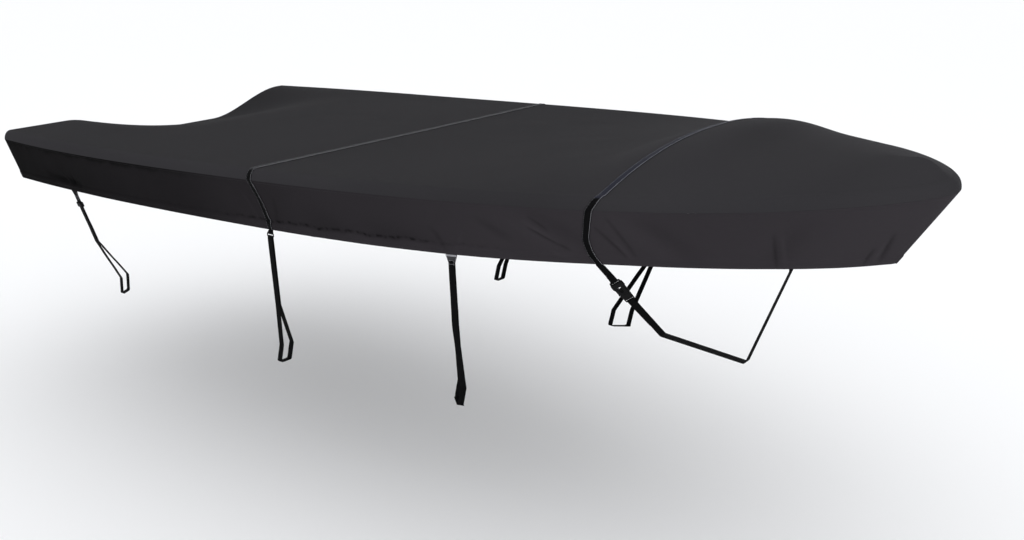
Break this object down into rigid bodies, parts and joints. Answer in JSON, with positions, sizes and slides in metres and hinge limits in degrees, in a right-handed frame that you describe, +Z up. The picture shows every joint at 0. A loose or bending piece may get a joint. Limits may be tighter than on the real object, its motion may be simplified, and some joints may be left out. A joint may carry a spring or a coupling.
{
  "type": "boat cover",
  "caption": "Fitted cloth cover of a small open boat, pulled tight by webbing straps, tie-down loops and a side-release buckle.",
  "frame": {"origin": "underside of the top panel on the centreline amidships, where the boat carries the cover", "axes": "+X towards the bow, +Y to port, +Z up"},
  "size_m": [4.065, 1.7954, 1.0767],
  "materials": {
    "cover_cloth": "coated polyester cloth, charcoal, slightly lighter on top",
    "tab_webbing": "light grey webbing, matt",
    "black_webbing": "black woven webbing, matt",
    "black_plastic": "moulded plastic, satin"
  },
  "bodies": {
    "root": {"top_panel": "cover_cloth", "side_panel_port": "cover_cloth", "side_panel_starboard": "cover_cloth", "transom_panel": "cover_cloth", "mid_over_strap": "black_webbing", "mid_ring_port": "black_plastic", "mid_ring_starboard": "black_plastic", "mid_tie_port": "black_webbing", "mid_tie_starboard": "black_webbing", "aft_tab_port": "tab_webbing", "aft_tab_starboard": "tab_webbing", "aft_tie_port": "black_webbing", "aft_tie_starboard": "black_webbing", "aft_slide_port": "black_plastic", "aft_slide_starboard": "black_plastic", "third_tab_port": "tab_webbing", "third_tab_starboard": "tab_webbing", "third_tie_port": "black_webbing", "third_tie_starboard": "black_webbing", "front_over_strap": "black_webbing", "front_belly_strap": "black_webbing", "front_buckle_body": "black_plastic", "front_buckle_tongue": "black_plastic"}
  },
  "joints": []
}
